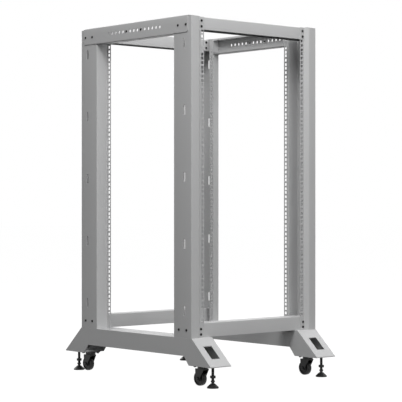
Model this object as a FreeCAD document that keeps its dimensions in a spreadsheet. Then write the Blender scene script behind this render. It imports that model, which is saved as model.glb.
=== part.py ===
import FreeCAD, Part
import os
import re
import Sketcher

# Four post open frame rack for nineteen inch equipment, on castors and levelling feet.
# Millimetres. +Z is up, +X is to the right and the front faces -Y.
# The origin is on the floor, under the middle of the rack.

# Every driving size: name in the sheet, value, what it is.
SIZES = [
    ("rack_units", 22, "equipment spaces between the bottom and the top beams"),
    ("unit_pitch", 44.45, "height of one equipment space"),
    ("hole_edge_gap", 6.35, "first hole above the edge of its space"),
    ("hole_step", 15.875, "from one hole of a space to the next"),
    ("column_distance", 465.1, "between the left and the right column of holes"),
    ("opening_width", 450, "clear width between the left and the right posts"),
    ("hole_side", 9.5, "side of a square cage nut hole"),
    ("frame_width", 580, "over the webs of the posts"),
    ("frame_depth", 610, "over the outer flanges of the posts"),
    ("base_top", 160, "floor to the top of the two bases"),
    ("sheet", 2, "steel sheet of posts, beams and bases"),
    ("web_depth", 92, "depth of a post"),
    ("strip_width", 18, "perforated strip along the inner edge of a flange"),
    ("slope_run", 14, "sloping stretch between the strip and the plain flange"),
    ("outer_recess", 12, "perforated strip behind the plain part, outer flange"),
    ("inner_recess", 3, "perforated strip behind the plain part, inner flange"),
    ("top_beam_height", 42, "front and rear top beams"),
    ("top_beam_depth", 52, "front and rear top beams, over both walls"),
    ("bottom_beam_height", 48, "front and rear bottom beams"),
    ("bottom_beam_depth", 40, "front and rear bottom beams"),
    ("end_gap", 0.5, "between a beam's flanges and the post beside it"),
    ("side_beam_height", 58, "left and right top beams"),
    ("side_beam_depth", 40, "flanges of the side top beams"),
    ("side_beam_lip", 10, "lips turned back from those flanges"),
    ("side_beam_inset", 18, "end of a side top beam from the face of its post"),
    ("base_width", 90, "width of a base"),
    ("beam_bottom", 100, "floor to the underside of a base between its feet"),
    ("foot_bottom", 70, "floor to the underside of a foot"),
    ("toe_reach", 95, "tip of a foot ahead of the face of its post"),
    ("toe_edge", 3, "upright edge at the tip of a foot"),
    ("heel_setback", 15, "end of a foot's underside behind the face of the post"),
    ("heel_run", 25, "rise from there to the underside of the base"),
    ("window_width", 36, "window in the sloping plate of a foot"),
    ("window_start", 25, "lower end of the window from the tip, in plan"),
    ("window_length", 43, "length of the window in plan"),
    ("foot_plate_sheet", 3, "plate that closes a foot underneath"),
    ("swivel_ahead", 5, "castor's swivel axis ahead of the face of the post"),
    ("wheel_trail", 13, "wheel's centre behind the swivel axis"),
    ("wheel_lift", 1, "wheel clear of the floor while the feet carry the rack"),
    ("wheel_diameter", 50, "castor wheel"),
    ("wheel_width", 18, "tread of the wheel"),
    ("hub_diameter", 16, "hub of the wheel"),
    ("axle_diameter", 6, "wheel axle"),
    ("axle_end", 2, "end of the axle beyond the cheek of its fork"),
    ("running_gap", 0.05, "radial clearance of a turning or sliding fit"),
    ("side_play", 0.3, "clearance along the axis of a turning fit"),
    ("fork_slot", 22, "between the cheeks of a fork"),
    ("cheek_sheet", 2.5, "cheeks and bridge of a fork"),
    ("wheel_to_bridge", 5, "between the wheel and the bridge of its fork"),
    ("fork_front", 15, "bridge ahead of the swivel axis"),
    ("fork_back", 24, "bridge behind the swivel axis"),
    ("axle_boss", 9, "radius of a cheek round the axle"),
    ("kingpin_diameter", 8, "pin on which a fork swivels"),
    ("kingpin_head", 7, "radius of the pin's head"),
    ("kingpin_head_height", 2, "head under the bridge"),
    ("race_radius", 18, "swivel race over the fork"),
    ("castor_plate_side", 50, "top plate of a castor"),
    ("castor_plate_sheet", 2.5, "thickness of that plate"),
    ("leveller_ahead", 64, "levelling foot ahead of the face of the post"),
    ("leveller_inset", 37, "levelling foot from the outer side of the base"),
    ("stem_diameter", 10, "screw of a levelling foot"),
    ("stem_top", 88, "upper end of the screw above the floor"),
    ("pad_radius", 19.5, "pad of a levelling foot"),
    ("pad_rim", 4, "height of the pad's rim"),
    ("pad_cone_top", 15, "height of the pad's cone"),
    ("pad_neck", 7.5, "radius of the cone at its top"),
    ("collar_radius", 7, "collar of the screw on the pad"),
    ("collar_bottom", 20, "collar above the floor"),
    ("collar_height", 5, "collar"),
    ("nut_flats", 17, "across the flats of the nuts"),
    ("nut_height", 8, "nuts"),
    ("lock_nut_bottom", 33, "lock nut above the floor"),
]

ALIASES = {alias for alias, number, note in SIZES}
SIDES = [("left", -1), ("right", 1)]
ENDS = [("front", -1), ("rear", 1)]
HOLES_PER_UNIT = 3
HEXAGON_SIDES = 6

doc = FreeCAD.newDocument("open_frame_rack")
sheet = doc.addObject("Spreadsheet::Sheet", "Sizes")
for line, (alias, number, note) in enumerate(SIZES, start=1):
    sheet.set("A%d" % line, alias)
    sheet.set("B%d" % line, str(number))
    sheet.set("C%d" % line, note)
    sheet.setAlias("B%d" % line, alias)
doc.recompute()

parts = []


def rule(text):
    """An expression on the sheet, from a rule written with the names of sizes."""

    def on_sheet(word):
        name = word.group(0)
        return "Sizes." + name if name in ALIASES else name

    return re.sub(r"[a-z_]+", on_sheet, text)


def value(text):
    """The number that a rule gives now."""
    return float(sheet.evalExpression(text))


def bind(thing, prop, text):
    """Tie one property of an object to a rule."""
    thing.setExpression(prop, rule(text))


def new_body(label):
    """A body that becomes one piece of the rack."""
    body = doc.addObject("PartDesign::Body", label)
    body.Label = label
    parts.append(body)
    return body


def new_sketch(body, role, name):
    """A sketch on one of the body's own origin planes."""
    sketch = body.newObject("Sketcher::SketchObject", name)
    plane = next(item for item in body.Origin.OriginFeatures if item.Role == role)
    sketch.AttachmentSupport = [(plane, "")]
    sketch.MapMode = "FlatFace"
    return sketch


def hold_point(sketch, curve, end, across, up):
    """Hold one end or centre of a curve at the place that two rules give."""
    for kind, text in (("DistanceX", across), ("DistanceY", up)):
        number = value(text)
        index = sketch.addConstraint(Sketcher.Constraint(kind, -1, 1, curve, end, number))
        sketch.setExpression("Constraints[%d]" % index, rule(text))


def draw_outline(sketch, corners):
    """A closed outline of straight sides with every corner held by two rules."""
    places = [FreeCAD.Vector(value(across), value(up), 0) for across, up in corners]
    first = sketch.GeometryCount
    count = len(corners)
    for index in range(count):
        sketch.addGeometry(Part.LineSegment(places[index], places[(index + 1) % count]), False)
    for index in range(count):
        following = first + (index + 1) % count
        sketch.addConstraint(Sketcher.Constraint("Coincident", first + index, 2, following, 1))
    for index, (across, up) in enumerate(corners):
        hold_point(sketch, first + index, 1, across, up)


def draw_rectangle(sketch, left, low, right, high):
    """An upright rectangle between two corners."""
    draw_outline(sketch, [(left, low), (right, low), (right, high), (left, high)])


def draw_circle(sketch, across, up, radius):
    """A circle whose centre and radius are held by rules."""
    centre = FreeCAD.Vector(value(across), value(up), 0)
    curve = sketch.addGeometry(Part.Circle(centre, FreeCAD.Vector(0, 0, 1), value(radius)), False)
    hold_point(sketch, curve, 3, across, up)
    index = sketch.addConstraint(Sketcher.Constraint("Radius", curve, value(radius)))
    sketch.setExpression("Constraints[%d]" % index, rule(radius))


def draw_hexagon(sketch, across, up):
    """A hexagon about a point, its flats nut_flats apart."""
    corners = []
    for index in range(HEXAGON_SIDES):
        turn = 360 * index // HEXAGON_SIDES
        corners.append((
            "%s + nut_flats / sqrt(3) * cos(%d deg)" % (across, turn),
            "%s + nut_flats / sqrt(3) * sin(%d deg)" % (up, turn),
        ))
    draw_outline(sketch, corners)


def pad(body, sketch, name, length, midplane=False):
    """Extrude a sketch."""
    feature = body.newObject("PartDesign::Pad", name)
    feature.Profile = sketch
    feature.Midplane = midplane
    bind(feature, "Length", length)
    return feature


def pocket(body, sketch, name, length=None):
    """Cut a sketch both ways from its plane, by a length or through everything."""
    feature = body.newObject("PartDesign::Pocket", name)
    feature.Profile = sketch
    feature.Midplane = True
    if length is None:
        feature.Type = "ThroughAll"
    else:
        bind(feature, "Length", length)
    return feature


def revolve(body, sketch, name):
    """Turn a sketch about its vertical axis."""
    feature = body.newObject("PartDesign::Revolution", name)
    feature.Profile = sketch
    feature.ReferenceAxis = (sketch, ["V_Axis"])
    feature.Angle = 360
    return feature


def place(part, across, along, up):
    """Put a piece at the place that three rules give."""
    bind(part, "Placement.Base.x", across)
    bind(part, "Placement.Base.y", along)
    bind(part, "Placement.Base.z", up)


SHEET_SHIFT = "sheet * tan(atan(%s / slope_run) / 2)"


def flange_line(side, end, flip, recess):
    """Outer and inner corners of one flange, from the web to its free edge."""
    face = "frame_depth / 2 - %s" % ("web_depth" if flip else "0")
    inward = "-1" if flip else "1"
    slope_start = "opening_width / 2 + strip_width + slope_run"
    slope_end = "opening_width / 2 + strip_width"
    edge = "opening_width / 2"
    shift = SHEET_SHIFT % recess

    def corner(across, depth):
        return ("%d * (%s)" % (side, across), "%d * (%s - %s * (%s))" % (end, face, inward, depth))

    outer = [
        corner(slope_start, "0"),
        corner(slope_end, recess),
        corner(edge, recess),
    ]
    inner = [
        corner(edge, recess + " + sheet"),
        corner(slope_end + " + " + shift, recess + " + sheet"),
        corner(slope_start + " + " + shift, "sheet"),
    ]
    return outer, inner


def make_post(end_name, end, side_name, side):
    """A post: a folded channel, open to the middle of the rack, with a perforated strip on each flange."""
    body = new_body("post_%s_%s" % (end_name, side_name))
    section = new_sketch(body, "XY_Plane", "section")
    outer_far, inner_far = flange_line(side, end, False, "outer_recess")
    outer_near, inner_near = flange_line(side, end, True, "inner_recess")
    web_out = "%d * frame_width / 2" % side
    web_in = "%d * (frame_width / 2 - sheet)" % side
    far = "%d * frame_depth / 2" % end
    far_in = "%d * (frame_depth / 2 - sheet)" % end
    near = "%d * (frame_depth / 2 - web_depth)" % end
    near_in = "%d * (frame_depth / 2 - web_depth + sheet)" % end
    draw_outline(
        section,
        [(web_out, far)] + outer_far + inner_far + [(web_in, far_in), (web_in, near_in)]
        + inner_near[::-1] + outer_near[::-1] + [(web_out, near)],
    )
    post_height = "top_beam_height + rack_units * unit_pitch + bottom_beam_height"
    pad(body, section, "channel", post_height)

    holes = new_sketch(body, "XZ_Plane", "holes_of_one_unit")
    for index in range(HOLES_PER_UNIT):
        middle = "bottom_beam_height + hole_edge_gap + %d * hole_step" % index
        column = "%d * column_distance / 2" % side
        draw_rectangle(
            holes,
            column + " - hole_side / 2",
            middle + " - hole_side / 2",
            column + " + hole_side / 2",
            middle + " + hole_side / 2",
        )
    cut = pocket(body, holes, "cage_nut_holes")
    pattern = body.newObject("PartDesign::LinearPattern", "units")
    pattern.Originals = [cut]
    pattern.Direction = (holes, ["V_Axis"])
    bind(pattern, "Length", "(rack_units - 1) * unit_pitch")
    bind(pattern, "Occurrences", "rack_units")
    body.Tip = pattern
    place(body, "0", "0", "base_top")


def add_face_plate(body, end, face_in, height):
    """The face of a front or rear beam that laps over the strips of both posts."""
    tabs = new_sketch(body, "XZ_Plane", "face_over_the_strips")
    bind(tabs, "AttachmentOffset.Base.z", "-(%s)" % face_in)
    reach = "opening_width / 2 + strip_width - end_gap"
    draw_rectangle(tabs, "-(%s)" % reach, "0", reach, height)
    feature = pad(body, tabs, "face_plate", "sheet")
    feature.Reversed = end > 0


def make_end_top_beam(end_name, end):
    """A front or rear top beam: a channel open downwards, its outer wall bolted over the posts' strips."""
    body = new_body("top_beam_" + end_name)
    section = new_sketch(body, "YZ_Plane", "section")
    face = "%d * (frame_depth / 2 - outer_recess + sheet)" % end
    face_in = "%d * (frame_depth / 2 - outer_recess)" % end
    back = "%d * (frame_depth / 2 - outer_recess + sheet - top_beam_depth)" % end
    back_in = "%d * (frame_depth / 2 - outer_recess + 2 * sheet - top_beam_depth)" % end
    top = "top_beam_height"
    under = "top_beam_height - sheet"
    draw_outline(
        section,
        [(face, "0"), (face, top), (back, top), (back, "0"), (back_in, "0"), (back_in, under),
         (face_in, under), (face_in, "0")],
    )
    pad(body, section, "channel", "opening_width - 2 * end_gap", True)
    add_face_plate(body, end, face_in, top)
    place(body, "0", "0", "base_top + rack_units * unit_pitch + bottom_beam_height")


def make_end_bottom_beam(end_name, end):
    """A front or rear bottom beam: a channel open to the inside, its face bolted over the posts' strips."""
    body = new_body("bottom_beam_" + end_name)
    section = new_sketch(body, "YZ_Plane", "section")
    face = "%d * (frame_depth / 2 - outer_recess + sheet)" % end
    face_in = "%d * (frame_depth / 2 - outer_recess)" % end
    back = "%d * (frame_depth / 2 - outer_recess + sheet - bottom_beam_depth)" % end
    top = "bottom_beam_height"
    under = "bottom_beam_height - sheet"
    draw_outline(
        section,
        [(face, "0"), (face, top), (back, top), (back, under), (face_in, under), (face_in, "sheet"),
         (back, "sheet"), (back, "0")],
    )
    pad(body, section, "channel", "opening_width - 2 * end_gap", True)
    add_face_plate(body, end, face_in, top)
    place(body, "0", "0", "base_top")


def make_side_top_beam(side_name, side):
    """A side top beam: a lipped channel open to the inside, its web bolted outside the posts."""
    body = new_body("top_beam_" + side_name)
    section = new_sketch(body, "XZ_Plane", "section")

    def across(depth):
        return "%d * (frame_width / 2 + sheet - (%s))" % (side, depth)

    lip_in = across("side_beam_depth - sheet")
    tip = across("side_beam_depth")
    web_in = across("sheet")
    draw_outline(
        section,
        [(across("0"), "0"), (across("0"), "side_beam_height"), (tip, "side_beam_height"),
         (tip, "side_beam_height - side_beam_lip"), (lip_in, "side_beam_height - side_beam_lip"),
         (lip_in, "side_beam_height - sheet"), (web_in, "side_beam_height - sheet"), (web_in, "sheet"),
         (lip_in, "sheet"), (lip_in, "side_beam_lip"), (tip, "side_beam_lip"), (tip, "0")],
    )
    pad(body, section, "channel", "frame_depth - 2 * web_depth - 2 * end_gap", True)
    plate = new_sketch(body, "YZ_Plane", "web_over_the_posts")
    bind(plate, "AttachmentOffset.Base.z", "%d * frame_width / 2" % side)
    reach = "frame_depth / 2 - side_beam_inset"
    draw_rectangle(plate, "-(%s)" % reach, "0", reach, "side_beam_height")
    feature = pad(body, plate, "web_plate", "sheet")
    feature.Reversed = side < 0
    post_top = "base_top + rack_units * unit_pitch + bottom_beam_height + top_beam_height"
    place(body, "0", "0", post_top + " - side_beam_height")


FOOT_SLOPE = "((base_top - foot_bottom - toe_edge) / toe_reach)"
SLOPE_DROP = "(sheet * sqrt(1 + (%s) * (%s)))" % (FOOT_SLOPE, FOOT_SLOPE)
INNER_REACH = "((base_top - foot_bottom - %s) / %s)" % (SLOPE_DROP, FOOT_SLOPE)


def make_base(side_name, side):
    """A base: a channel open downwards that runs out into a sloping foot at each end."""
    body = new_body("base_" + side_name)
    outline = new_sketch(body, "YZ_Plane", "side_view")
    half = [
        ("frame_depth / 2", "base_top"),
        ("frame_depth / 2 + toe_reach", "foot_bottom + toe_edge"),
        ("frame_depth / 2 + toe_reach", "foot_bottom"),
        ("frame_depth / 2 - heel_setback", "foot_bottom"),
        ("frame_depth / 2 - heel_setback - heel_run", "beam_bottom"),
    ]
    draw_outline(outline, half + [("-(%s)" % along, up) for along, up in half[::-1]])
    pad(body, outline, "block", "base_width", True)

    hollow = new_sketch(body, "YZ_Plane", "hollow")
    ridge = "frame_depth / 2 - (%s - sheet) / %s" % (SLOPE_DROP, FOOT_SLOPE)
    toe = "frame_depth / 2 + " + INNER_REACH
    half = [(ridge, "base_top - sheet"), (toe, "foot_bottom")]
    draw_outline(hollow, half + [("-(%s)" % along, up) for along, up in half[::-1]])
    pocket(body, hollow, "inside", "base_width - 2 * sheet")

    windows = new_sketch(body, "XY_Plane", "windows")
    far = "frame_depth / 2 + toe_reach - window_start"
    near = "frame_depth / 2 + toe_reach - window_start - window_length"
    draw_rectangle(windows, "-window_width / 2", near, "window_width / 2", far)
    draw_rectangle(windows, "-window_width / 2", "-(%s)" % far, "window_width / 2", "-(%s)" % near)
    pocket(body, windows, "window_cuts")
    place(body, "%d * (frame_width - base_width) / 2" % side, "0", "0")


def make_foot_plate(end_name, end, side_name, side):
    """The plate that closes a foot, with the nut that takes the levelling screw."""
    body = new_body("foot_plate_%s_%s" % (end_name, side_name))
    plan = new_sketch(body, "XY_Plane", "plan")
    toe = "%s - foot_plate_sheet / %s" % (INNER_REACH, FOOT_SLOPE)
    near = "%d * (-heel_setback)" % end
    far = "%d * (%s)" % (end, toe)
    half_width = "base_width / 2 - sheet"
    draw_rectangle(plan, "-(%s)" % half_width, near, half_width, far)
    pad(body, plan, "plate", "foot_plate_sheet")
    nut = new_sketch(body, "XY_Plane", "nut_plan")
    middle = ("%d * (base_width / 2 - leveller_inset)" % side, "%d * leveller_ahead" % end)
    draw_hexagon(nut, middle[0], middle[1])
    bind(nut, "AttachmentOffset.Base.z", "foot_plate_sheet")
    pad(body, nut, "weld_nut", "nut_height")
    bore = new_sketch(body, "XY_Plane", "bore")
    draw_circle(bore, middle[0], middle[1], "stem_diameter / 2 + running_gap")
    pocket(body, bore, "screw_hole")
    place(body, "%d * (frame_width - base_width) / 2" % side, "%d * frame_depth / 2" % end, "foot_bottom")


WHEEL_MIDDLE = "(wheel_lift + wheel_diameter / 2)"
BRIDGE_LOW = "(wheel_lift + wheel_diameter + wheel_to_bridge)"


def place_castor(part, end, side):
    """Put a castor piece on its swivel axis."""
    across = "%d * (frame_width - base_width) / 2" % side
    place(part, across, "%d * (frame_depth / 2 + swivel_ahead)" % end, "0")


def make_castor_mount(end_name, end, side_name, side):
    """Top plate, swivel race and kingpin of a castor."""
    body = new_body("castor_mount_%s_%s" % (end_name, side_name))
    half = new_sketch(body, "XZ_Plane", "race_and_pin")
    race_low = BRIDGE_LOW + " + cheek_sheet + side_play"
    head_top = BRIDGE_LOW + " - side_play"
    draw_outline(half, [
        ("0", head_top + " - kingpin_head_height"),
        ("kingpin_head", head_top + " - kingpin_head_height"),
        ("kingpin_head", head_top),
        ("kingpin_diameter / 2", head_top),
        ("kingpin_diameter / 2", race_low),
        ("race_radius", race_low),
        ("race_radius", "foot_bottom - castor_plate_sheet"),
        ("0", "foot_bottom - castor_plate_sheet"),
    ])
    revolve(body, half, "race")
    plan = new_sketch(body, "XY_Plane", "plate_plan")
    draw_rectangle(plan, "-castor_plate_side / 2", "-castor_plate_side / 2",
                   "castor_plate_side / 2", "castor_plate_side / 2")
    bind(plan, "AttachmentOffset.Base.z", "foot_bottom - castor_plate_sheet")
    pad(body, plan, "plate", "castor_plate_sheet")
    place_castor(body, end, side)


def make_fork(end_name, end, side_name, side):
    """The swivelling fork of a castor: a bridge and two cheeks that hold the axle behind the swivel axis."""
    body = new_body("castor_fork_%s_%s" % (end_name, side_name))
    cheek = new_sketch(body, "YZ_Plane", "side_view")
    bridge_top = BRIDGE_LOW + " + cheek_sheet"
    draw_outline(cheek, [
        ("-fork_front", bridge_top),
        ("-fork_front", BRIDGE_LOW),
        ("wheel_trail - axle_boss", WHEEL_MIDDLE + " - axle_boss / 2"),
        ("wheel_trail - axle_boss / 2", WHEEL_MIDDLE + " - axle_boss"),
        ("wheel_trail + axle_boss / 2", WHEEL_MIDDLE + " - axle_boss"),
        ("wheel_trail + axle_boss", WHEEL_MIDDLE + " - axle_boss / 2"),
        ("fork_back", BRIDGE_LOW),
        ("fork_back", bridge_top),
    ])
    pad(body, cheek, "block", "fork_slot + 2 * cheek_sheet", True)
    slot = new_sketch(body, "YZ_Plane", "wheel_space")
    draw_rectangle(slot, "-fork_front - cheek_sheet", "0", "fork_back + cheek_sheet", BRIDGE_LOW)
    pocket(body, slot, "slot", "fork_slot")
    axle_hole = new_sketch(body, "YZ_Plane", "axle_hole")
    draw_circle(axle_hole, "wheel_trail", WHEEL_MIDDLE, "axle_diameter / 2")
    pocket(body, axle_hole, "axle_bore")
    pin_hole = new_sketch(body, "XY_Plane", "pin_hole")
    draw_circle(pin_hole, "0", "0", "kingpin_diameter / 2 + running_gap")
    pocket(body, pin_hole, "kingpin_bore")
    place_castor(body, end, side)


def make_axle(end_name, end, side_name, side):
    """The axle of a castor wheel, held in the cheeks of its fork."""
    body = new_body("castor_axle_%s_%s" % (end_name, side_name))
    section = new_sketch(body, "YZ_Plane", "section")
    draw_circle(section, "wheel_trail", WHEEL_MIDDLE, "axle_diameter / 2")
    pad(body, section, "pin", "fork_slot + 2 * cheek_sheet + 2 * axle_end", True)
    place_castor(body, end, side)


def make_wheel(end_name, end, side_name, side):
    """A castor wheel with a crowned tread and a hub that runs on the axle."""
    body = new_body("castor_wheel_%s_%s" % (end_name, side_name))
    half = new_sketch(body, "XZ_Plane", "half_section")
    bore = "axle_diameter / 2 + running_gap"
    hub_half = "fork_slot / 2 - side_play"
    draw_outline(half, [
        (bore, "-(%s)" % hub_half),
        ("hub_diameter / 2", "-(%s)" % hub_half),
        ("hub_diameter / 2", "-wheel_width / 2"),
        ("wheel_diameter / 2 - wheel_width / 8", "-wheel_width / 2"),
        ("wheel_diameter / 2", "-wheel_width / 4"),
        ("wheel_diameter / 2", "wheel_width / 4"),
        ("wheel_diameter / 2 - wheel_width / 8", "wheel_width / 2"),
        ("hub_diameter / 2", "wheel_width / 2"),
        ("hub_diameter / 2", hub_half),
        (bore, hub_half),
    ])
    revolve(body, half, "wheel")
    across = "%d * (frame_width - base_width) / 2" % side
    along = "%d * (frame_depth / 2 + swivel_ahead) + wheel_trail" % end
    body.Placement.Rotation = FreeCAD.Rotation(FreeCAD.Vector(0, 1, 0), 90)
    place(body, across, along, WHEEL_MIDDLE)


def place_leveller(part, end, side):
    """Put a piece of a levelling foot on its screw's axis."""
    across = "%d * (frame_width / 2 - leveller_inset)" % side
    place(part, across, "%d * (frame_depth / 2 + leveller_ahead)" % end, "0")


def make_leveller(end_name, end, side_name, side):
    """A levelling foot: pad, screw with its collar, and lock nut."""
    place_name = "%s_%s" % (end_name, side_name)
    foot = new_body("leveller_pad_" + place_name)
    half = new_sketch(foot, "XZ_Plane", "half_section")
    draw_outline(half, [
        ("0", "0"),
        ("pad_radius", "0"),
        ("pad_radius", "pad_rim"),
        ("pad_neck", "pad_cone_top"),
        ("0", "pad_cone_top"),
    ])
    revolve(foot, half, "pad")
    place_leveller(foot, end, side)

    screw = new_body("leveller_screw_" + place_name)
    half = new_sketch(screw, "XZ_Plane", "half_section")
    draw_outline(half, [
        ("0", "pad_cone_top"),
        ("stem_diameter / 2", "pad_cone_top"),
        ("stem_diameter / 2", "collar_bottom"),
        ("collar_radius", "collar_bottom"),
        ("collar_radius", "collar_bottom + collar_height"),
        ("stem_diameter / 2", "collar_bottom + collar_height"),
        ("stem_diameter / 2", "stem_top"),
        ("0", "stem_top"),
    ])
    revolve(screw, half, "screw")
    place_leveller(screw, end, side)

    nut = new_body("leveller_nut_" + place_name)
    plan = new_sketch(nut, "XY_Plane", "plan")
    draw_hexagon(plan, "0", "0")
    bind(plan, "AttachmentOffset.Base.z", "lock_nut_bottom")
    pad(nut, plan, "hexagon", "nut_height")
    bore = new_sketch(nut, "XY_Plane", "bore")
    draw_circle(bore, "0", "0", "stem_diameter / 2")
    pocket(nut, bore, "thread")
    place_leveller(nut, end, side)


for end_name, end in ENDS:
    for side_name, side in SIDES:
        make_post(end_name, end, side_name, side)
        make_foot_plate(end_name, end, side_name, side)
        make_castor_mount(end_name, end, side_name, side)
        make_fork(end_name, end, side_name, side)
        make_axle(end_name, end, side_name, side)
        make_wheel(end_name, end, side_name, side)
        make_leveller(end_name, end, side_name, side)
    make_end_top_beam(end_name, end)
    make_end_bottom_beam(end_name, end)
for side_name, side in SIDES:
    make_side_top_beam(side_name, side)
    make_base(side_name, side)
doc.recompute()

for item in doc.Objects:
    if "Invalid" in item.State or "Error" in item.State:
        raise RuntimeError("%s failed: %s" % (item.Label, item.State))
for part in parts:
    if part.Shape.isNull() or not part.Shape.isValid():
        raise RuntimeError("%s has no valid shape" % part.Label)

os.makedirs("parts", exist_ok=True)
for part in parts:
    part.Shape.exportStep("parts/%s.step" % part.Label)
    box = part.Shape.BoundBox
    print("%-32s %9.1f mm3  x %7.1f %7.1f  y %7.1f %7.1f  z %7.1f %7.1f" % (
        part.Label, part.Shape.Volume, box.XMin, box.XMax, box.YMin, box.YMax, box.ZMin, box.ZMax))
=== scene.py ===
# Looks of the four post open frame rack, in metres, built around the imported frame.
import math

import bmesh
import bpy
from mathutils import Matrix, Vector


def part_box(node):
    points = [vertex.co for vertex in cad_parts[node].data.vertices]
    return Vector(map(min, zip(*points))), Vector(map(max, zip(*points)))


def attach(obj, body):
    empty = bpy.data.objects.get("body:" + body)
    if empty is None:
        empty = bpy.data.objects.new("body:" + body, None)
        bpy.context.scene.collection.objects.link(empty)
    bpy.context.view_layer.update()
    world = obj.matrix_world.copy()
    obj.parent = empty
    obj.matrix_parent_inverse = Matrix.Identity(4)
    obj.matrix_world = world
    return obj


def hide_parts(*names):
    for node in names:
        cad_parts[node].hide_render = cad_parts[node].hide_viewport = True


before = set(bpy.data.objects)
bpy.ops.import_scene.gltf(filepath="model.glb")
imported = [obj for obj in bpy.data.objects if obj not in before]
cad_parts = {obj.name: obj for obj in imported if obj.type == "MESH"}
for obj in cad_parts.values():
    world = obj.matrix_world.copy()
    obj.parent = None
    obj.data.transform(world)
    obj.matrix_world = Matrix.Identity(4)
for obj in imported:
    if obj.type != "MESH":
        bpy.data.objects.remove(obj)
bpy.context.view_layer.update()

SIDES = (("left", -1), ("right", 1))
ENDS = (("front", -1), ("rear", 1))
CORNERS = [(end + "_" + side, end_sign, side_sign) for end, end_sign in ENDS for side, side_sign in SIDES]

# Levels and faces read from the frame
post_low, post_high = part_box("post_front_right")
BASE_TOP = post_low.z
TOP = post_high.z
FACE = -post_low.y
SIDE = post_high.x
OPENING = post_low.x
SIDE_BEAM_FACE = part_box("top_beam_right")[1].x

# Sheet metal forms of the posts and beams
SHEET = 0.002
STRIP_WIDTH = 0.018
SLOPE_RUN = 0.014
STRIP_RECESS = 0.012
WEB_DEPTH = 0.092
INNER_FLANGE_WIDTH = 0.0475
RETURN_WIDTH = 0.0205
TOP_BEAM_HEIGHT = 0.042
BOTTOM_BEAM_HEIGHT = 0.048
END_BEAM_DEPTH = 0.050
END_GAP = 0.0005
SIDE_BEAM_HEIGHT = 0.0595
SIDE_BEAM_RISE = 0.0035
SIDE_BEAM_DEPTH = 0.030
SIDE_BEAM_LIP = 0.008
SIDE_BEAM_INSET = 0.018
SIDE_BEAM_CORNER = 0.005
STRIP_FACE = FACE - STRIP_RECESS
INNER_WALL = STRIP_FACE - SHEET - END_BEAM_DEPTH
SIDE_BEAM_LOW = TOP + SIDE_BEAM_RISE - SIDE_BEAM_HEIGHT
SLOT_ROW_HEIGHT = SIDE_BEAM_LOW + 0.0315
SHEET_BEND = 0.0016
BEND_STEPS = 5

# Differences that only come from rounding: in a cut corner, in a length and between two columns
CORNER_ROUNDING = 1e-7
LENGTH_ROUNDING = 1e-9
COLUMN_ROUNDING = 1e-6

# Square holes of the rails and slots of the webs
RACK_UNITS = 22
UNIT_PITCH = 0.04445
HOLES_PER_UNIT = 3
HOLE_EDGE_GAP = 0.00635
HOLE_STEP = 0.015875
HOLE_SIDE = 0.0095
COLUMN = 0.4651 / 2
RETURN_HOLE_LINE = 0.012
WEB_SLOT_LINE = 0.0375
WEB_SLOT_WIDTH = 0.008
WEB_SLOT_HEIGHT = 0.033
WEB_SLOT_START = 0.042
WEB_SLOT_UNITS = (0, 5, 10, 15, 20)
SIDE_SLOTS = 15
SIDE_SLOT_PITCH = 0.0202
SIDE_SLOT_WIDTH = 0.008
SIDE_SLOT_HEIGHT = 0.010
OCTAGON_CUT = 1 / (2 + math.sqrt(2))

# Finishes: the middle of a noise, levels of grey and how strongly a surface shines
NOISE_LOW = 0.3
NOISE_HIGH = 0.7
COAT_LEVEL = 0.60
COAT_CLOUDS = 0.015
COAT_COOLNESS = 0.004
COAT_ROUGHNESS = 0.42
COAT_ROUGHNESS_SPREAD = 0.04
COAT_SHINE = 0.25
COAT_EDGE = 0.0012
EDGE_SAMPLES = 4
BLACK_SHINE = 0.3
SMOOTH_ANGLE = math.radians(40)


def new_material(name):
    """A node material with its Principled shader and its object coordinates."""
    material = bpy.data.materials.new(name)
    material.use_nodes = True
    shader = material.node_tree.nodes["Principled BSDF"]
    place = material.node_tree.nodes.new("ShaderNodeTexCoord")
    return material, material.node_tree, shader, place.outputs["Object"]


def add_noise(tree, place, scale, detail=3.0, roughness=0.5):
    """A noise texture on the given coordinates."""
    noise = tree.nodes.new("ShaderNodeTexNoise")
    noise.inputs["Scale"].default_value = scale
    noise.inputs["Detail"].default_value = detail
    noise.inputs["Roughness"].default_value = roughness
    tree.links.new(place, noise.inputs["Vector"])
    return noise.outputs["Fac"]


def map_range(tree, value, low, high):
    """Stretch the middle of a noise to a range of values."""
    node = tree.nodes.new("ShaderNodeMapRange")
    node.inputs["From Min"].default_value = NOISE_LOW
    node.inputs["From Max"].default_value = NOISE_HIGH
    node.inputs["To Min"].default_value = low
    node.inputs["To Max"].default_value = high
    tree.links.new(value, node.inputs["Value"])
    return node.outputs["Result"]


def vary_colour(tree, shader, value, dark, light):
    """Let a noise move the base colour between two near shades."""
    ramp = tree.nodes.new("ShaderNodeValToRGB")
    ramp.color_ramp.elements[0].position = NOISE_LOW
    ramp.color_ramp.elements[0].color = (*dark, 1)
    ramp.color_ramp.elements[1].position = NOISE_HIGH
    ramp.color_ramp.elements[1].color = (*light, 1)
    tree.links.new(value, ramp.inputs["Fac"])
    tree.links.new(ramp.outputs["Color"], shader.inputs["Base Color"])


def soft_bends(tree, radius):
    """The normal of the sheet with its folds and cut edges rounded."""
    bend = tree.nodes.new("ShaderNodeBevel")
    bend.samples = EDGE_SAMPLES
    bend.inputs["Radius"].default_value = radius
    return bend.outputs["Normal"]


def add_bump(tree, shader, heights, strength, normal=None):
    """Bump from one or more (height, distance) pairs, laid over each other."""
    for height, distance in heights:
        bump = tree.nodes.new("ShaderNodeBump")
        bump.inputs["Strength"].default_value = strength
        bump.inputs["Distance"].default_value = distance
        tree.links.new(height, bump.inputs["Height"])
        if normal is not None:
            tree.links.new(normal, bump.inputs["Normal"])
        normal = bump.outputs["Normal"]
    tree.links.new(normal, shader.inputs["Normal"])


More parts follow.
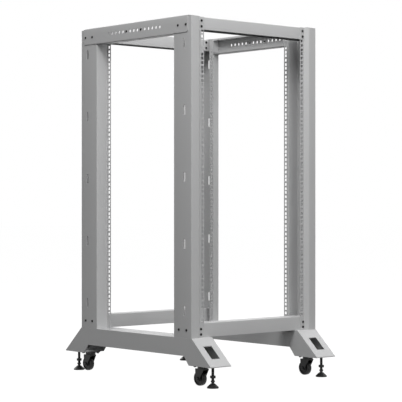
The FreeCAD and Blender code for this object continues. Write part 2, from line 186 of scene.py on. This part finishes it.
def grey(level, tint=0.0):
    """A neutral grey, a little cooler for a positive tint."""
    return (level * (1 - tint), level, level * (1 + tint))


def make_powder_coat():
    """Powder coat on sheet steel: fine orange peel, faint cloudiness, satin."""
    material, tree, shader, place = new_material("powder_coat")
    clouds = add_noise(tree, place, scale=4.0)
    dark = grey(COAT_LEVEL * (1 - COAT_CLOUDS), COAT_COOLNESS)
    light = grey(COAT_LEVEL * (1 + COAT_CLOUDS), COAT_COOLNESS)
    vary_colour(tree, shader, clouds, dark, light)
    peel = add_noise(tree, place, scale=650.0, detail=2.0)
    grain = add_noise(tree, place, scale=2600.0, detail=1.0)
    satin = add_noise(tree, place, scale=60.0)
    low, high = COAT_ROUGHNESS - COAT_ROUGHNESS_SPREAD, COAT_ROUGHNESS + COAT_ROUGHNESS_SPREAD
    tree.links.new(map_range(tree, satin, low, high), shader.inputs["Roughness"])
    bends = soft_bends(tree, COAT_EDGE)
    add_bump(tree, shader, ((peel, 0.00012), (grain, 0.00003)), strength=0.35, normal=bends)
    shader.inputs["Specular IOR Level"].default_value = COAT_SHINE
    return material


def make_black_paint():
    """Black electro coat on pressed steel."""
    material, tree, shader, place = new_material("black_paint")
    vary_colour(tree, shader, add_noise(tree, place, scale=120.0), grey(0.006), grey(0.014))
    shader.inputs["Specular IOR Level"].default_value = BLACK_SHINE
    rough = add_noise(tree, place, scale=300.0)
    tree.links.new(map_range(tree, rough, low=0.30, high=0.42), shader.inputs["Roughness"])
    add_bump(tree, shader, ((add_noise(tree, place, scale=900.0), 0.00008),), strength=0.4)
    return material


def make_screw_black():
    """Blackened screws, a little oily."""
    material, tree, shader, place = new_material("screw_black")
    vary_colour(tree, shader, add_noise(tree, place, scale=700.0), grey(0.010), grey(0.026))
    shader.inputs["Metallic"].default_value = 0.6
    rough = add_noise(tree, place, scale=500.0)
    tree.links.new(map_range(tree, rough, low=0.34, high=0.5), shader.inputs["Roughness"])
    add_bump(tree, shader, ((add_noise(tree, place, scale=2000.0), 0.00004),), strength=0.4)
    return material


def make_nylon():
    """Black moulded nylon of the wheels, scuffed on the tread."""
    material, tree, shader, place = new_material("black_nylon")
    scuffs = add_noise(tree, place, scale=90.0, detail=5.0, roughness=0.6)
    vary_colour(tree, shader, scuffs, grey(0.006), grey(0.018))
    shader.inputs["Specular IOR Level"].default_value = BLACK_SHINE
    rough = add_noise(tree, place, scale=160.0, detail=4.0)
    tree.links.new(map_range(tree, rough, low=0.32, high=0.5), shader.inputs["Roughness"])
    add_bump(tree, shader, ((add_noise(tree, place, scale=1100.0), 0.00008),), strength=0.5)
    return material


def make_rubber():
    """Black moulded plastic and rubber of the levelling pads."""
    material, tree, shader, place = new_material("black_rubber")
    vary_colour(tree, shader, add_noise(tree, place, scale=140.0, detail=4.0), grey(0.006), grey(0.016))
    shader.inputs["Specular IOR Level"].default_value = BLACK_SHINE
    rough = add_noise(tree, place, scale=220.0)
    tree.links.new(map_range(tree, rough, low=0.42, high=0.6), shader.inputs["Roughness"])
    add_bump(tree, shader, ((add_noise(tree, place, scale=1500.0), 0.0001),), strength=0.5)
    return material


COAT = make_powder_coat()
PAINT = make_black_paint()
SCREW = make_screw_black()
NYLON = make_nylon()
RUBBER = make_rubber()

FINISHES = {
    "post": COAT,
    "top_beam": COAT,
    "bottom_beam": COAT,
    "base": COAT,
    "foot_plate": COAT,
    "castor_mount": PAINT,
    "castor_fork": PAINT,
    "castor_axle": SCREW,
    "castor_wheel": NYLON,
    "leveller_pad": RUBBER,
    "leveller_screw": SCREW,
    "leveller_nut": SCREW,
}


def dress_nodes():
    """Give every CAD node its finish."""
    for name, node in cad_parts.items():
        family = max((key for key in FINISHES if name.startswith(key)), key=len)
        if not node.material_slots:
            node.data.materials.append(FINISHES[family])
        for slot in node.material_slots:
            slot.material = FINISHES[family]


def mesh_object(name, mesh, material, body):
    """Turn a bmesh into a piece that rides on a body."""
    data = bpy.data.meshes.new(name)
    mesh.to_mesh(data)
    mesh.free()
    data.materials.append(material)
    piece = bpy.data.objects.new(name, data)
    bpy.context.scene.collection.objects.link(piece)
    for polygon in data.polygons:
        polygon.use_smooth = True
    data.set_sharp_from_angle(angle=SMOOTH_ANGLE)
    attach(piece, body)
    return piece


class Fold:
    """The middle line of a folded sheet: straight stretches between corners, with round bends.

    A station holds its length along the line, its point and its left hand side. A start holds the
    length at which a stretch begins and how much of that stretch the bend before it takes away.
    """

    def __init__(self, corners, bend):
        points = [Vector(corner) for corner in corners]
        directions = [(after - before).normalized() for before, after in zip(points, points[1:])]
        self.stations = [(0.0, points[0], self.side_of(directions[0]))]
        self.starts = [(0.0, 0.0)]
        for index in range(1, len(points) - 1):
            before, after = directions[index - 1], directions[index]
            turn = math.atan2(before.x * after.y - before.y * after.x, before.dot(after))
            trim = bend * math.tan(abs(turn) / 2)
            self.add(points[index] - before * trim, before)
            centre = points[index] - before * trim + self.side_of(before) * math.copysign(bend, turn)
            arm = self.stations[-1][1] - centre
            for step in range(1, BEND_STEPS + 1):
                part = turn * step / BEND_STEPS
                swung = Matrix.Rotation(part, 2) @ arm
                self.add(centre + swung, Matrix.Rotation(part, 2) @ before)
            self.starts.append((self.stations[-1][0], trim))
        self.add(points[-1], directions[-1])

    @staticmethod
    def side_of(direction):
        """The left hand side of a direction."""
        return Vector((-direction.y, direction.x))

    def add(self, point, direction):
        """One more station on the line."""
        length = self.stations[-1][0] + (point - self.stations[-1][1]).length
        self.stations.append((length, point, self.side_of(direction)))

    def reach(self, stretch, distance):
        """Length along the line to a place on one stretch, given from that stretch's corner."""
        start, trim = self.starts[stretch]
        return start + distance - trim

    def place(self, length):
        """Point and side at a length along the line."""
        for before, after in zip(self.stations, self.stations[1:]):
            if length <= after[0] + LENGTH_ROUNDING:
                share = (length - before[0]) / (after[0] - before[0])
                return before[1].lerp(after[1], share), before[2].lerp(after[2], share).normalized()
        raise ValueError("beyond the end of the sheet")


def merged(values):
    """Sorted values without near doubles."""
    kept = []
    for number in sorted(values):
        if not kept or number - kept[-1] > COLUMN_ROUNDING:
            kept.append(number)
    return kept


# How far a corner is moved to the middle of its cell before it is tested for a hole
INWARD = 0.6


def sheet_mesh(fold, ends, holes, place):
    """A folded sheet with its holes, as thick as SHEET and closed all round.

    A hole is (from, to) along the fold, (low, high) along the piece and the cut of its corners.
    Inside it nothing is left. place gives the point in space for a point of the section and a height.
    """
    columns = [station[0] for station in fold.stations]
    rows = list(ends)
    for first, last, low, high, cut in holes:
        columns += [first, first + cut, last - cut, last]
        rows += [low, low + cut, high - cut, high]
    columns = merged(number for number in columns if 0 <= number <= fold.stations[-1][0])
    rows = merged(number for number in rows if ends[0] <= number <= ends[1])
    mesh = bmesh.new()
    faces = []
    for side in (-0.5, 0.5):
        layer = []
        for column in columns:
            point, normal = fold.place(column)
            edge = point + normal * (side * SHEET)
            layer.append([mesh.verts.new(place(edge.x, edge.y, row)) for row in rows])
        faces.append(layer)

    def gone(across, up):
        """True inside a hole, away from its cut corners."""
        for first, last, low, high, cut in holes:
            if first < across < last and low < up < high:
                near = min(across - first, last - across) + min(up - low, high - up)
                return near > cut + CORNER_ROUNDING
        return False

    outlines = []
    for i in range(len(columns) - 1):
        for j in range(len(rows) - 1):
            middle = ((columns[i] + columns[i + 1]) / 2, (rows[j] + rows[j + 1]) / 2)
            corners = [(i, j), (i + 1, j), (i + 1, j + 1), (i, j + 1)]
            kept = []
            for a, b in corners:
                across = columns[a] * (1 - INWARD) + middle[0] * INWARD
                up = rows[b] * (1 - INWARD) + middle[1] * INWARD
                if not gone(across, up):
                    kept.append((a, b))
            if len(kept) >= 3:
                outlines.append(kept)
    borders = {}
    for outline in outlines:
        mesh.faces.new([faces[0][a][b] for a, b in outline])
        mesh.faces.new([faces[1][a][b] for a, b in outline[::-1]])
        for start, stop in zip(outline, outline[1:] + outline[:1]):
            if (stop, start) in borders:
                del borders[(stop, start)]
            else:
                borders[(start, stop)] = True
    for start, stop in borders:
        low_start, low_stop = faces[0][start[0]][start[1]], faces[0][stop[0]][stop[1]]
        high_start, high_stop = faces[1][start[0]][start[1]], faces[1][stop[0]][stop[1]]
        mesh.faces.new((low_stop, low_start, high_start, high_stop))
    loose = [vertex for vertex in mesh.verts if not vertex.link_faces]
    bmesh.ops.delete(mesh, geom=loose, context="VERTS")
    bmesh.ops.recalc_face_normals(mesh, faces=mesh.faces)
    return mesh


def add_sheet(node, fold, ends, holes, place):
    """A folded sheet that stands for the node of its name."""
    piece = mesh_object("sheet_" + node, sheet_mesh(fold, ends, holes, place), COAT, "frame")
    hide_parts(node)


def make_post(corner, end_sign, side_sign):
    """A post: perforated strip, sloping stretch, face, web, short inner flange and perforated return."""
    strip = STRIP_FACE - SHEET / 2
    face = FACE - SHEET / 2
    web = SIDE - SHEET / 2
    slope = math.atan2(STRIP_RECESS, SLOPE_RUN)
    shift = SHEET / 2 * math.tan(slope / 2)
    near = FACE - WEB_DEPTH + SHEET / 2
    returned = SIDE - INNER_FLANGE_WIDTH + SHEET / 2
    free_edge = FACE - WEB_DEPTH - RETURN_WIDTH
    fold = Fold([
        (OPENING, strip),
        (OPENING + STRIP_WIDTH + shift, strip),
        (OPENING + STRIP_WIDTH + SLOPE_RUN + shift, face),
        (web, face),
        (web, near),
        (returned, near),
        (returned, free_edge),
    ], SHEET_BEND)
    strip_hole = fold.reach(0, COLUMN - OPENING)
    web_slot = fold.reach(3, WEB_SLOT_LINE - SHEET / 2)
    return_hole = fold.reach(5, RETURN_HOLE_LINE + SHEET / 2)
    holes = []
    half = HOLE_SIDE / 2
    lowest = BASE_TOP + BOTTOM_BEAM_HEIGHT
    for unit in range(RACK_UNITS):
        for step in range(HOLES_PER_UNIT):
            height = lowest + unit * UNIT_PITCH + HOLE_EDGE_GAP + step * HOLE_STEP
            for line in (strip_hole, return_hole):
                holes.append((line - half, line + half, height - half, height + half, 0.0))
    for unit in WEB_SLOT_UNITS:
        height = lowest + WEB_SLOT_START + unit * UNIT_PITCH
        holes.append((
            web_slot - WEB_SLOT_WIDTH / 2, web_slot + WEB_SLOT_WIDTH / 2,
            height - WEB_SLOT_HEIGHT / 2, height + WEB_SLOT_HEIGHT / 2, WEB_SLOT_WIDTH * OCTAGON_CUT))
    add_sheet("post_" + corner, fold, (BASE_TOP, TOP), holes,
              lambda across, along, up: (side_sign * across, end_sign * along, up))


def make_end_beam(node, end_sign, low, height):
    """A front or rear beam: a channel open downwards whose ends lie inside the posts."""
    outer = STRIP_FACE - SHEET * 1.5
    inner = INNER_WALL + SHEET / 2
    top = low + height - SHEET / 2
    fold = Fold([(outer, low), (outer, top), (inner, top), (inner, low)], SHEET_BEND)
    reach = SIDE - SHEET - END_GAP
    add_sheet(node, fold, (-reach, reach), [], lambda along, up, across: (across, end_sign * along, up))


def make_side_beam(node, side_sign):
    """A side top beam: lipped channel between the posts, with its web and top running over them."""
    web = SIDE_BEAM_FACE - SHEET / 2
    tip = SIDE_BEAM_FACE - SIDE_BEAM_DEPTH + SHEET / 2
    under = SIDE_BEAM_LOW + SHEET / 2
    top = SIDE_BEAM_LOW + SIDE_BEAM_HEIGHT - SHEET / 2
    fold = Fold([
        (tip, SIDE_BEAM_LOW + SIDE_BEAM_LIP),
        (tip, under),
        (web, under),
        (web, top),
        (tip, top),
        (tip, SIDE_BEAM_LOW + SIDE_BEAM_HEIGHT - SIDE_BEAM_LIP),
    ], SHEET_BEND)
    reach = FACE - SIDE_BEAM_INSET
    between = FACE - WEB_DEPTH - END_GAP
    web_start = fold.starts[2][0]
    lip_start = fold.stations[-2][0] - fold.starts[4][1]
    whole = fold.stations[-1][0]
    holes = []
    for low, high in ((-reach - SHEET, -between), (between, reach + SHEET)):
        holes.append((-SHEET, web_start, low, high, 0.0))
        holes.append((lip_start, whole + SHEET, low, high, 0.0))
    cut = SIDE_BEAM_CORNER
    for end in (-reach, reach):
        holes.append((web_start - cut, web_start + cut, end - cut, end + cut, cut))
    row = fold.reach(2, SLOT_ROW_HEIGHT - under)
    for index in range(SIDE_SLOTS):
        along = (index - (SIDE_SLOTS - 1) / 2) * SIDE_SLOT_PITCH
        holes.append((
            row - SIDE_SLOT_HEIGHT / 2, row + SIDE_SLOT_HEIGHT / 2,
            along - SIDE_SLOT_WIDTH / 2, along + SIDE_SLOT_WIDTH / 2, SIDE_SLOT_WIDTH * OCTAGON_CUT))
    add_sheet(node, fold, (-reach, reach), holes, lambda across, up, along: (side_sign * across, along, up))


def make_frame_sheets():
    """The folded posts and beams."""
    for corner, end_sign, side_sign in CORNERS:
        make_post(corner, end_sign, side_sign)
    for end, end_sign in ENDS:
        make_end_beam("top_beam_" + end, end_sign, TOP - TOP_BEAM_HEIGHT, TOP_BEAM_HEIGHT)
        make_end_beam("bottom_beam_" + end, end_sign, BASE_TOP, BOTTOM_BEAM_HEIGHT)
    for side, side_sign in SIDES:
        make_side_beam("top_beam_" + side, side_sign)


HEAD_RADIUS = 0.0045
HEAD_HEIGHT = 0.0030
HEAD_SIDES = 24
DOME_STEPS = 5
DOME_ANGLE = math.radians(72)
RIM_HEIGHT = 0.00075
SOCKET_FLATS = 0.0040
SOCKET_RIM = 0.00291
SOCKET_DEPTH = 0.0018

# Shares of a hexagon head: its washer and the start of its chamfer in its height, radii in its flats
WASHER_SHARE = 0.2
CHAMFER_SHARE = 0.85
WASHER_RADIUS_SHARE = 0.62
CHAMFER_RADIUS_SHARE = 0.48


def frame_at(place, outward):
    """A matrix that puts +Z along a direction at a place."""
    turn = Vector((0, 0, 1)).rotation_difference(Vector(outward)).to_matrix().to_4x4()
    return Matrix.Translation(Vector(place)) @ turn


def round_ring(radius, height, sides):
    """Points of a circle about the Z axis."""
    turns = [2 * math.pi * index / sides for index in range(sides)]
    return [(radius * math.cos(turn), radius * math.sin(turn), height) for turn in turns]


def hexagon_ring(flats, height, sides):
    """Points of a hexagon about the Z axis, as many as a circle beside it has."""
    sixth = math.pi / 3
    points = []
    for index in range(sides):
        turn = 2 * math.pi * index / sides
        radius = flats / 2 / math.cos(turn % sixth - sixth / 2)
        points.append((radius * math.cos(turn), radius * math.sin(turn), height))
    return points


def skin(mesh, rings, move, closed=False):
    """Join rings of points to one skin, capped at both ends or closed on itself."""
    rows = [[mesh.verts.new(move @ Vector(point)) for point in ring] for ring in rings]
    following_rows = rows[1:] + rows[:1] if closed else rows[1:]
    for low, high in zip(rows, following_rows):
        for index in range(len(low)):
            following = (index + 1) % len(low)
            mesh.faces.new((low[index], low[following], high[following], high[index]))
    if not closed:
        mesh.faces.new(rows[-1])
        mesh.faces.new(rows[0][::-1])


def add_screw(mesh, place, outward):
    """A button head screw with a hexagon socket, its seat at a place."""
    rings = [round_ring(HEAD_RADIUS, height, HEAD_SIDES) for height in (0.0, RIM_HEIGHT)]
    for step in range(1, DOME_STEPS + 1):
        turn = DOME_ANGLE * step / DOME_STEPS
        height = RIM_HEIGHT + (HEAD_HEIGHT - RIM_HEIGHT) * math.sin(turn)
        rings.append(round_ring(HEAD_RADIUS * math.cos(turn), height, HEAD_SIDES))
    rings.append(hexagon_ring(SOCKET_FLATS, SOCKET_RIM, HEAD_SIDES))
    rings.append(hexagon_ring(SOCKET_FLATS, HEAD_HEIGHT - SOCKET_DEPTH, HEAD_SIDES))
    skin(mesh, rings, frame_at(place, outward))


def add_hexagon_head(mesh, place, outward, flats, height):
    """A hexagon head or nut on its washer, its chamfered end outward."""
    move = frame_at(place, outward)
    washer = height * WASHER_SHARE
    reach = flats * WASHER_RADIUS_SHARE
    skin(mesh, [round_ring(reach, level, HEAD_SIDES) for level in (0.0, washer)], move)
    skin(mesh, [
        hexagon_ring(flats, washer, HEAD_SIDES),
        hexagon_ring(flats, height * CHAMFER_SHARE, HEAD_SIDES),
        round_ring(flats * CHAMFER_RADIUS_SHARE, height, HEAD_SIDES),
    ], move)


def make_screws(name, places):
    """One joined piece of screws, each given as a seat and an outward direction."""
    mesh = bmesh.new()
    for place, outward in places:
        add_screw(mesh, Vector(place), Vector(outward))
    piece = mesh_object(name, mesh, SCREW, "frame")


# Screws of the frame: distance from the middle plane, height and depth behind the face
UPPER_SCREW_COLUMN = 0.2360
LOWER_SCREW_COLUMN = 0.2385
UPPER_SCREW_HEIGHTS = (TOP - 0.0124, TOP - 0.0320)
LOWER_SCREW_HEIGHTS = (BASE_TOP + 0.0282, BASE_TOP + 0.0107)
UPPER_SIDE_DEPTHS = (0.0270, 0.0675)
LOWER_SIDE_DEPTHS = (0.0260, 0.0650)
UPPER_SIDE_HEIGHT = SIDE_BEAM_LOW + 0.0280
LOWER_SIDE_HEIGHT = BASE_TOP + 0.0267
MIDDLE_SCREW_OFFSET = 0.0404
INNER_SCREW_COLUMN = 0.2510
INNER_SCREW_HEIGHTS = (TOP - 0.0090, TOP - 0.0300)


def place_screws():
    """The screws that hold beams, posts and bases together."""
    columns = ((UPPER_SCREW_COLUMN, UPPER_SCREW_HEIGHTS), (LOWER_SCREW_COLUMN, LOWER_SCREW_HEIGHTS))
    for end, end_sign in ENDS:
        places = []
        inner = []
        for side_sign in (-1, 1):
            for column, heights in columns:
                for height in heights:
                    places.append(((side_sign * column, end_sign * STRIP_FACE, height), (0, end_sign, 0)))
            for height in INNER_SCREW_HEIGHTS:
                seat = (side_sign * INNER_SCREW_COLUMN, end_sign * INNER_WALL, height)
                inner.append((seat, (0, -end_sign, 0)))
        make_screws("screws_" + end, places)
        make_screws("inner_screws_" + end, inner)
    for side, side_sign in SIDES:
        places = []
        outward = (side_sign, 0, 0)
        for end_sign in (-1, 1):
            for depth in UPPER_SIDE_DEPTHS:
                seat = (side_sign * SIDE_BEAM_FACE, end_sign * (FACE - depth), UPPER_SIDE_HEIGHT)
                places.append((seat, outward))
            for depth in LOWER_SIDE_DEPTHS:
                places.append(((side_sign * SIDE, end_sign * (FACE - depth), LOWER_SIDE_HEIGHT), outward))
            middle = (side_sign * SIDE_BEAM_FACE, end_sign * MIDDLE_SCREW_OFFSET, SLOT_ROW_HEIGHT)
            places.append((middle, outward))
        make_screws("screws_" + side, places)


SCREW_DIAMETER = 0.010
COLLAR_DIAMETER = 0.014
COLLAR_RISE = 0.005
COLLAR_HEIGHT = 0.005
COLLAR_EDGE = 0.0006
THREAD_PITCH = 0.0015
THREAD_DEPTH = 0.0007
THREAD_SIDES = 20
ROWS_PER_PITCH = 4


def make_levelling_screw(corner):
    """The threaded screw of a levelling foot, with its collar and a socket in its end."""
    node = "leveller_screw_" + corner
    low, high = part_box(node)
    centre = (low + high) / 2
    collar = (high.x - low.x) / 2
    radius = collar * SCREW_DIAMETER / COLLAR_DIAMETER
    collar_low = low.z + COLLAR_RISE
    collar_high = collar_low + COLLAR_HEIGHT
    move = Matrix.Translation((centre.x, centre.y, 0))
    mesh = bmesh.new()
    skin(mesh, [
        round_ring(radius, low.z, THREAD_SIDES),
        round_ring(radius, collar_low, THREAD_SIDES),
        round_ring(collar - COLLAR_EDGE, collar_low, THREAD_SIDES),
        round_ring(collar, collar_low + COLLAR_EDGE, THREAD_SIDES),
        round_ring(collar, collar_high - COLLAR_EDGE, THREAD_SIDES),
        round_ring(collar - COLLAR_EDGE, collar_high, THREAD_SIDES),
    ], move)
    rings = []
    rows = int((high.z - collar_high) / THREAD_PITCH * ROWS_PER_PITCH)
    for row in range(rows + 1):
        height = collar_high + row * THREAD_PITCH / ROWS_PER_PITCH
        fade = min(1.0, (high.z - height) / THREAD_PITCH)
        ring = []
        for index in range(THREAD_SIDES):
            turn = 2 * math.pi * index / THREAD_SIDES
            phase = (row / ROWS_PER_PITCH - index / THREAD_SIDES) % 1
            flank = abs(2 * phase - 1)
            thread_radius = radius - THREAD_DEPTH * (flank * fade + 1 - fade)
            ring.append((thread_radius * math.cos(turn), thread_radius * math.sin(turn), height))
        rings.append(ring)
    rings.append(hexagon_ring(radius, high.z, THREAD_SIDES))
    rings.append(hexagon_ring(radius, high.z - radius, THREAD_SIDES))
    skin(mesh, rings, move)
    piece = mesh_object("threaded_screw_" + corner, mesh, SCREW, "leveller_" + corner)
    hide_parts(node)


# Half of a wheel's section from its bore round to its tread: radius, distance from the middle plane
WHEEL_HALF = (
    (0.00305, 0.0107),
    (0.0074, 0.0107),
    (0.0080, 0.0101),
    (0.0082, 0.0062),
    (0.0092, 0.0052),
    (0.0172, 0.0050),
    (0.0184, 0.0058),
    (0.0190, 0.0082),
    (0.0197, 0.0090),
    (0.0221, 0.0090),
    (0.0234, 0.0084),
    (0.0243, 0.0070),
    (0.0248, 0.0046),
)
WHEEL_SIDES = 48


def make_wheel(corner):
    """A castor wheel: hub, recessed disc and rounded tread."""
    node = "castor_wheel_" + corner
    low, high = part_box(node)
    tread = (high.z - low.z) / 2
    section = list(WHEEL_HALF) + [(tread, 0.0)] + [(radius, -out) for radius, out in WHEEL_HALF[::-1]]
    mesh = bmesh.new()
    rings = [round_ring(radius, out, WHEEL_SIDES) for radius, out in section[::-1]]
    skin(mesh, rings, frame_at((low + high) / 2, (1, 0, 0)), closed=True)
    piece = mesh_object("rolling_wheel_" + corner, mesh, NYLON, "wheel_" + corner)
    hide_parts(node)


CASTOR_PLATE = 0.0025
AXLE_HEAD_FLATS = 0.0100
AXLE_HEAD_HEIGHT = 0.0040
PLATE_SCREW_OFFSET = 0.0185
PLATE_SCREW_FLATS = 0.0085
PLATE_SCREW_HEIGHT = 0.0040


def make_castor_fasteners(corner):
    """The bolt through a castor's fork and the four screws of its top plate."""
    low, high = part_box("castor_fork_" + corner)
    axle_low, axle_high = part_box("castor_axle_" + corner)
    centre = (axle_low + axle_high) / 2
    mesh = bmesh.new()
    for sign, face in ((-1, low.x), (1, high.x)):
        seat = (face, centre.y, centre.z)
        add_hexagon_head(mesh, seat, (sign, 0, 0), AXLE_HEAD_FLATS, AXLE_HEAD_HEIGHT)
    piece = mesh_object("axle_bolt_" + corner, mesh, SCREW, "castor_" + corner)

    plate_low, plate_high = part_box("castor_mount_" + corner)
    middle = (plate_low + plate_high) / 2
    plate_under = plate_high.z - CASTOR_PLATE
    mesh = bmesh.new()
    for across in (-1, 1):
        for along in (-1, 1):
            x = middle.x + across * PLATE_SCREW_OFFSET
            y = middle.y + along * PLATE_SCREW_OFFSET
            add_hexagon_head(mesh, (x, y, plate_under), (0, 0, -1), PLATE_SCREW_FLATS, PLATE_SCREW_HEIGHT)
    piece = mesh_object("castor_screws_" + corner, mesh, SCREW, "frame")


# The photograph's camera: side, focal length and horizon in pixels, yaw in degrees, the rest in metres
PHOTO_SIDE = 402
CAMERA_FOCAL = 1513.2
HORIZON_ROW = 203.2
CAMERA_YAW = 40.94
CAMERA_REACH = 100.0
SENSOR_MILLIMETRES = 36.0
CAMERA_PLACE = (-3.5369, -4.0954, 0.6072)


def make_camera():
    """The photograph's view: level, from the front left, with a long lens."""
    data = bpy.data.cameras.new("camera")
    data.sensor_width = SENSOR_MILLIMETRES
    data.lens = CAMERA_FOCAL / PHOTO_SIDE * data.sensor_width
    data.shift_y = (HORIZON_ROW - PHOTO_SIDE / 2) / PHOTO_SIDE
    data.clip_end = CAMERA_REACH
    camera = bpy.data.objects.new("camera", data)
    bpy.context.scene.collection.objects.link(camera)
    camera.location = CAMERA_PLACE
    camera.rotation_euler = (math.radians(90), 0, -math.radians(CAMERA_YAW))
    bpy.context.scene.camera = camera


def light_path_mask(tree):
    """1 for what the camera sees, straight or in a reflection."""
    path = tree.nodes.new("ShaderNodeLightPath")
    first = tree.nodes.new("ShaderNodeMath")
    first.operation = "MAXIMUM"
    tree.links.new(path.outputs["Is Camera Ray"], first.inputs[0])
    tree.links.new(path.outputs["Is Glossy Ray"], first.inputs[1])
    second = tree.nodes.new("ShaderNodeMath")
    second.operation = "MAXIMUM"
    tree.links.new(first.outputs[0], second.inputs[0])
    tree.links.new(path.outputs["Is Transmission Ray"], second.inputs[1])
    return second.outputs[0]


# The floor gives the rack little light back, and the camera sees it pale: part glow, part shaded grey
FLOOR_SIDE = 60.0
FLOOR_BOUNCE = 0.012
FLOOR_GREY = 0.9
FLOOR_SHARE = 0.90
FLOOR_GLOW = 1.09
WORLD_LEVEL = 0.18


def make_floor():
    """A plain pale floor that keeps a faint shadow."""
    mesh = bmesh.new()
    bmesh.ops.create_grid(mesh, x_segments=1, y_segments=1, size=FLOOR_SIDE / 2)
    data = bpy.data.meshes.new("floor")
    mesh.to_mesh(data)
    mesh.free()
    floor = bpy.data.objects.new("floor", data)
    bpy.context.scene.collection.objects.link(floor)
    material = bpy.data.materials.new("pale_floor")
    material.use_nodes = True
    tree = material.node_tree
    tree.nodes.clear()
    output = tree.nodes.new("ShaderNodeOutputMaterial")
    dim = tree.nodes.new("ShaderNodeBsdfDiffuse")
    dim.inputs["Color"].default_value = (*grey(FLOOR_BOUNCE), 1)
    pale = tree.nodes.new("ShaderNodeBsdfDiffuse")
    pale.inputs["Color"].default_value = (*grey(FLOOR_GREY), 1)
    glow = tree.nodes.new("ShaderNodeEmission")
    glow.inputs["Strength"].default_value = FLOOR_GLOW
    seen = tree.nodes.new("ShaderNodeMixShader")
    seen.inputs["Fac"].default_value = FLOOR_SHARE
    tree.links.new(pale.outputs[0], seen.inputs[1])
    tree.links.new(glow.outputs[0], seen.inputs[2])
    choice = tree.nodes.new("ShaderNodeMixShader")
    tree.links.new(light_path_mask(tree), choice.inputs["Fac"])
    tree.links.new(dim.outputs[0], choice.inputs[1])
    tree.links.new(seen.outputs[0], choice.inputs[2])
    tree.links.new(choice.outputs[0], output.inputs["Surface"])
    data.materials.append(material)


def make_world():
    """An even, dim sky that the camera sees as white."""
    world = bpy.data.worlds.new("studio")
    bpy.context.scene.world = world
    world.use_nodes = True
    tree = world.node_tree
    tree.nodes.clear()
    output = tree.nodes.new("ShaderNodeOutputWorld")
    light = tree.nodes.new("ShaderNodeBackground")
    light.inputs["Color"].default_value = (1, 1, 1, 1)
    light.inputs["Strength"].default_value = WORLD_LEVEL
    white = tree.nodes.new("ShaderNodeBackground")
    white.inputs["Color"].default_value = (1, 1, 1, 1)
    white.inputs["Strength"].default_value = 1.0
    choice = tree.nodes.new("ShaderNodeMixShader")
    tree.links.new(light_path_mask(tree), choice.inputs["Fac"])
    tree.links.new(light.outputs[0], choice.inputs[1])
    tree.links.new(white.outputs[0], choice.inputs[2])
    tree.links.new(choice.outputs[0], output.inputs["Surface"])


def add_softbox(name, place, target, side, watts):
    """A square soft light aimed at a point."""
    data = bpy.data.lights.new(name, "AREA")
    data.shape = "SQUARE"
    data.size = side
    data.energy = watts
    lamp = bpy.data.objects.new(name, data)
    bpy.context.scene.collection.objects.link(lamp)
    lamp.location = place
    lamp.rotation_euler = (Vector(target) - Vector(place)).to_track_quat("-Z", "Y").to_euler()


# Name, place, what it aims at, side of the square and watts
SOFTBOXES = (
    ("front_light", (-1.5, -5.5, 2.2), (0, 0, 0.7), 2.5, 95.0),
    ("over_left_light", (-1.9, -1.4, 3.5), (0, 0, 0.8), 1.6, 63.0),
    ("over_front_light", (0.0, -0.5, 2.6), (0, 0.2, 0.8), 1.2, 11.0),
    ("right_light", (3.0, -0.6, 2.4), (0, 0, 0.7), 2.0, 28.0),
    ("rear_light", (0.6, 3.8, 2.4), (0, 0, 0.7), 2.0, 80.0),
)

dress_nodes()
make_frame_sheets()
place_screws()
for corner, _, _ in CORNERS:
    make_levelling_screw(corner)
    make_wheel(corner)
    make_castor_fasteners(corner)
make_floor()
make_world()
for softbox in SOFTBOXES:
    add_softbox(*softbox)
make_camera()

bpy.context.scene.view_settings.view_transform = "Standard"
